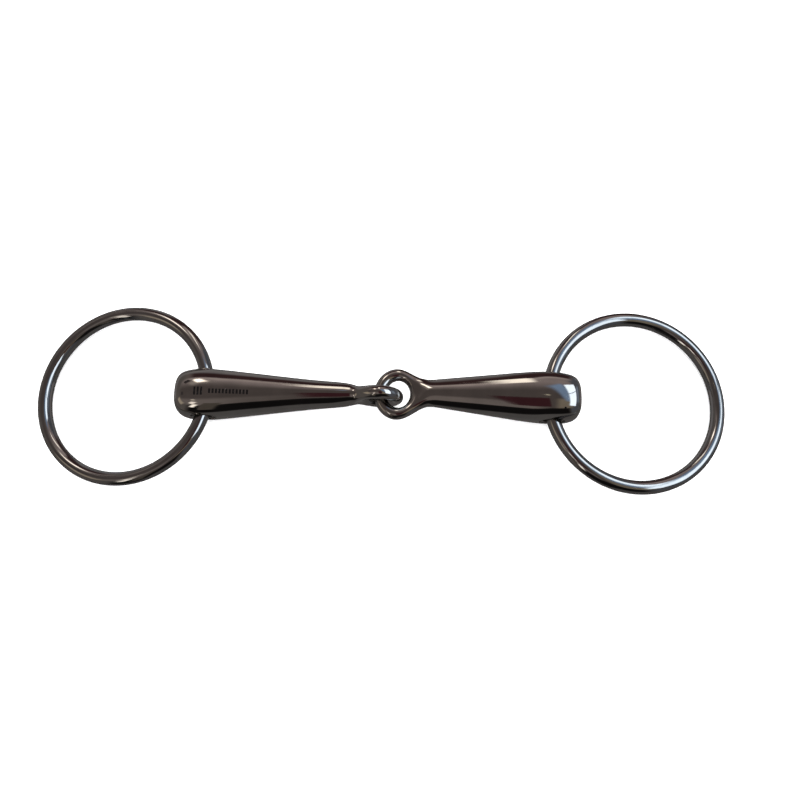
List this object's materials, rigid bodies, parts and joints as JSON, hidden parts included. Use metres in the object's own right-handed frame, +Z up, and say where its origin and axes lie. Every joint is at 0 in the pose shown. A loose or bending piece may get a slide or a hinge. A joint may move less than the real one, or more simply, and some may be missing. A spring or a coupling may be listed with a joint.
{
  "type": "snaffle bit",
  "caption": "Loose-ring snaffle bit: a jointed hollow mouth that tapers to linked eyes, with a free-running round-wire ring through each end.",
  "frame": {"origin": "on the ground the bit lies on, midway between the two ring holes", "axes": "+X along the mouth towards the right ring, +Y along the ring holes, +Z up from the ground"},
  "size_m": [0.2992, 0.0798, 0.0214],
  "materials": {
    "mouth_steel": "mirror-polished stainless steel, dark in its reflections",
    "ring_steel": "polished stainless steel wire with fine handling marks",
    "sleeve_steel": "reamed steel, duller than the outside"
  },
  "bodies": {
    "left_half": {"left_mouthpiece": "mouth_steel"},
    "right_half": {"right_mouthpiece": "mouth_steel"},
    "left_swivel": {"left_ring_sleeve": "sleeve_steel"},
    "left_cheek": {"left_ring": "ring_steel"},
    "right_swivel": {"right_ring_sleeve": "sleeve_steel"},
    "right_cheek": {"right_ring": "ring_steel"}
  },
  "joints": [
    {"name": "centre_joint", "type": "hinge", "parent": "left_half", "child": "right_half", "pos_m": [0.00815, -0.0006, 0.0106], "axis": [0, 0, 1], "range_deg": [-110, 110]},
    {"name": "left_ring_swivel", "type": "hinge", "parent": "left_half", "child": "left_swivel", "pos_m": [-0.07377, 0, 0.0106], "axis": [0, 1, 0], "range_deg": [-155, 165]},
    {"name": "left_ring_slide", "type": "hinge", "parent": "left_swivel", "child": "left_cheek", "pos_m": [-0.10985, 0, 0.00681], "axis": [-0.1044, 0, 0.9945], "continuous": true},
    {"name": "right_ring_swivel", "type": "hinge", "parent": "right_half", "child": "right_swivel", "pos_m": [0.07377, 0, 0.0106], "axis": [0, 1, 0], "range_deg": [-165, 155]},
    {"name": "right_ring_slide", "type": "hinge", "parent": "right_swivel", "child": "right_cheek", "pos_m": [0.10985, 0, 0.00681], "axis": [0.1044, 0, 0.9945], "continuous": true}
  ]
}
